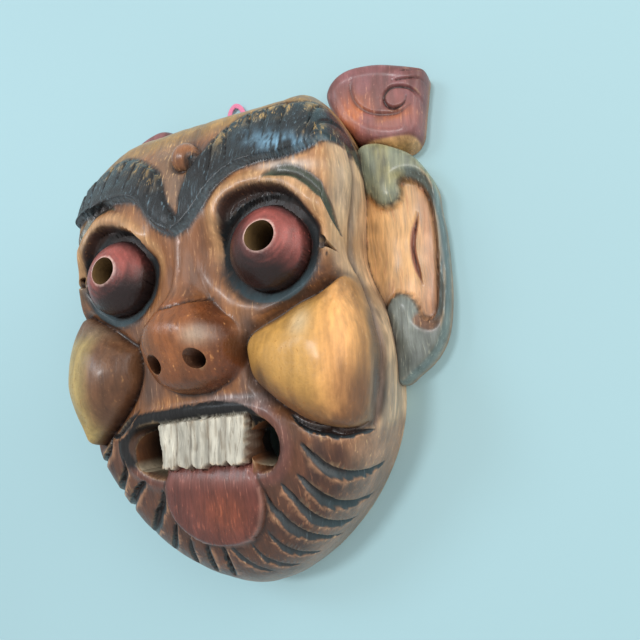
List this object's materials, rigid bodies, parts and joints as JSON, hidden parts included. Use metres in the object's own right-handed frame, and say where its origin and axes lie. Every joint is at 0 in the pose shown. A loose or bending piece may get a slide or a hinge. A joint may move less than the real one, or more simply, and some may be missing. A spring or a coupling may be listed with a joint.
{
  "type": "carved wall mask",
  "caption": "Carved wooden demon-face wall mask with snub snout, drilled bulging eyes, tongue, beard grooves, scrolled ears and a hanging cord.",
  "frame": {"origin": "centre of the mask's bounding box at the plane of its flat back rim; the mask lies on its back", "axes": "+X towards the viewer's right, +Y towards the forehead, +Z out of the face"},
  "size_m": [0.187, 0.2432, 0.0786],
  "materials": {
    "painted_wood": "stained and painted carved wood under a worn semi-gloss varnish",
    "pink_cord": "soft woven cord"
  },
  "bodies": {
    "root": {"carved_mask": "painted_wood", "hanging_cord": "pink_cord"}
  },
  "joints": []
}
